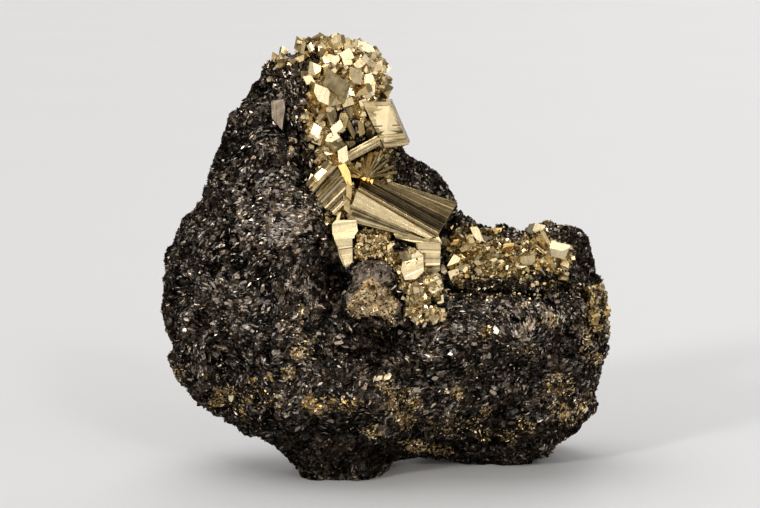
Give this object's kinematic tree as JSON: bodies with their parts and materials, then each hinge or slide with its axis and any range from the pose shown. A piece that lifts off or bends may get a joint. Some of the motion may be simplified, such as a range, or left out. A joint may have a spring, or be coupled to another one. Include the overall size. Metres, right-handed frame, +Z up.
{
  "type": "pyrite after pyrrhotite mineral specimen",
  "caption": "Upright hand specimen: a dark metallic sulphide mass on two feet, with brassy pyrite prisms, blocks and crusts of small crystals down one side.",
  "frame": {"origin": "centre of the specimen's box at the level of its two feet", "axes": "+X right and +Z up as seen from the side with the crystals, +Y away from that side"},
  "size_m": [0.103, 0.0502, 0.0972],
  "materials": {
    "pyrrhotite": "dark, granular, submetallic, with many small bright cleavage faces",
    "pyrite": "metallic, brassy, striated crystal faces with some tarnish",
    "pyrite_pale": "metallic, pale brassy, smooth to finely striated faces",
    "pyrite_gold": "metallic, golden tarnish on small grains",
    "relict": "smooth grey to tan lumps with a dull metallic lustre"
  },
  "bodies": {
    "root": {"matrix": "pyrrhotite", "crest_druse": "pyrite", "slab_crystal": "pyrite_pale", "bar_crystal": "pyrite", "blade_crystal": "pyrite_pale", "spray_crystals": "pyrite", "fan_crystals": "pyrite", "block_crystal": "pyrite_pale", "stepped_crystal": "pyrite", "relict_lump": "relict", "druse_tail": "pyrite", "shoulder_druse": "pyrite", "flank_druse": "pyrite_gold"}
  },
  "joints": []
}
